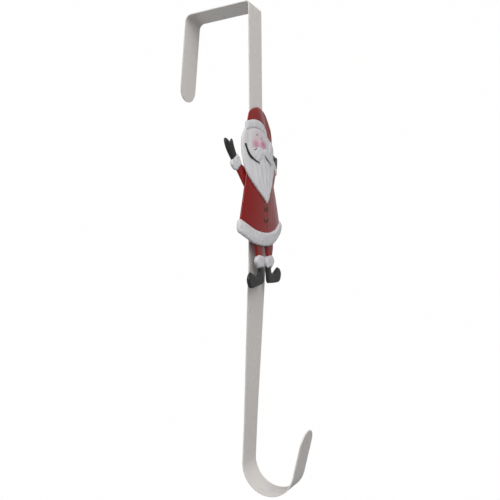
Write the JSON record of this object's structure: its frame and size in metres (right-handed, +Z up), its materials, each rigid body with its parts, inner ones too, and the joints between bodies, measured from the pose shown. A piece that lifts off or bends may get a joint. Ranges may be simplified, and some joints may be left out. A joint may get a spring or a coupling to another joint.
{
  "type": "wreath hanger",
  "caption": "Over-door wreath hanger: a painted flat steel strip bent into a door hook and a wreath hook, with a pressed tin winter figure on its shank.",
  "frame": {"origin": "centre of the underside of the top bar, where it rests on the door's top edge", "axes": "+Z up, -Y towards the figure and the wreath hook, +X to the right seen from the front"},
  "size_m": [0.0895, 0.1106, 0.39],
  "materials": {
    "strip_paint": "gloss off-white paint",
    "coat_paint": "gloss dark red paint",
    "fur_paint": "satin white paint",
    "boot_paint": "satin black paint",
    "button_paint": "satin dark brown paint",
    "bracket_paint": "gloss off-white paint"
  },
  "bodies": {
    "root": {"hanger_strip": "strip_paint", "mount_bracket": "bracket_paint", "coat": "coat_paint", "fur_hem": "fur_paint", "head": "fur_paint", "right_arm": "coat_paint", "left_arm": "coat_paint", "right_leg": "boot_paint", "left_leg": "boot_paint", "upper_button": "button_paint", "lower_button": "button_paint"}
  },
  "joints": []
}
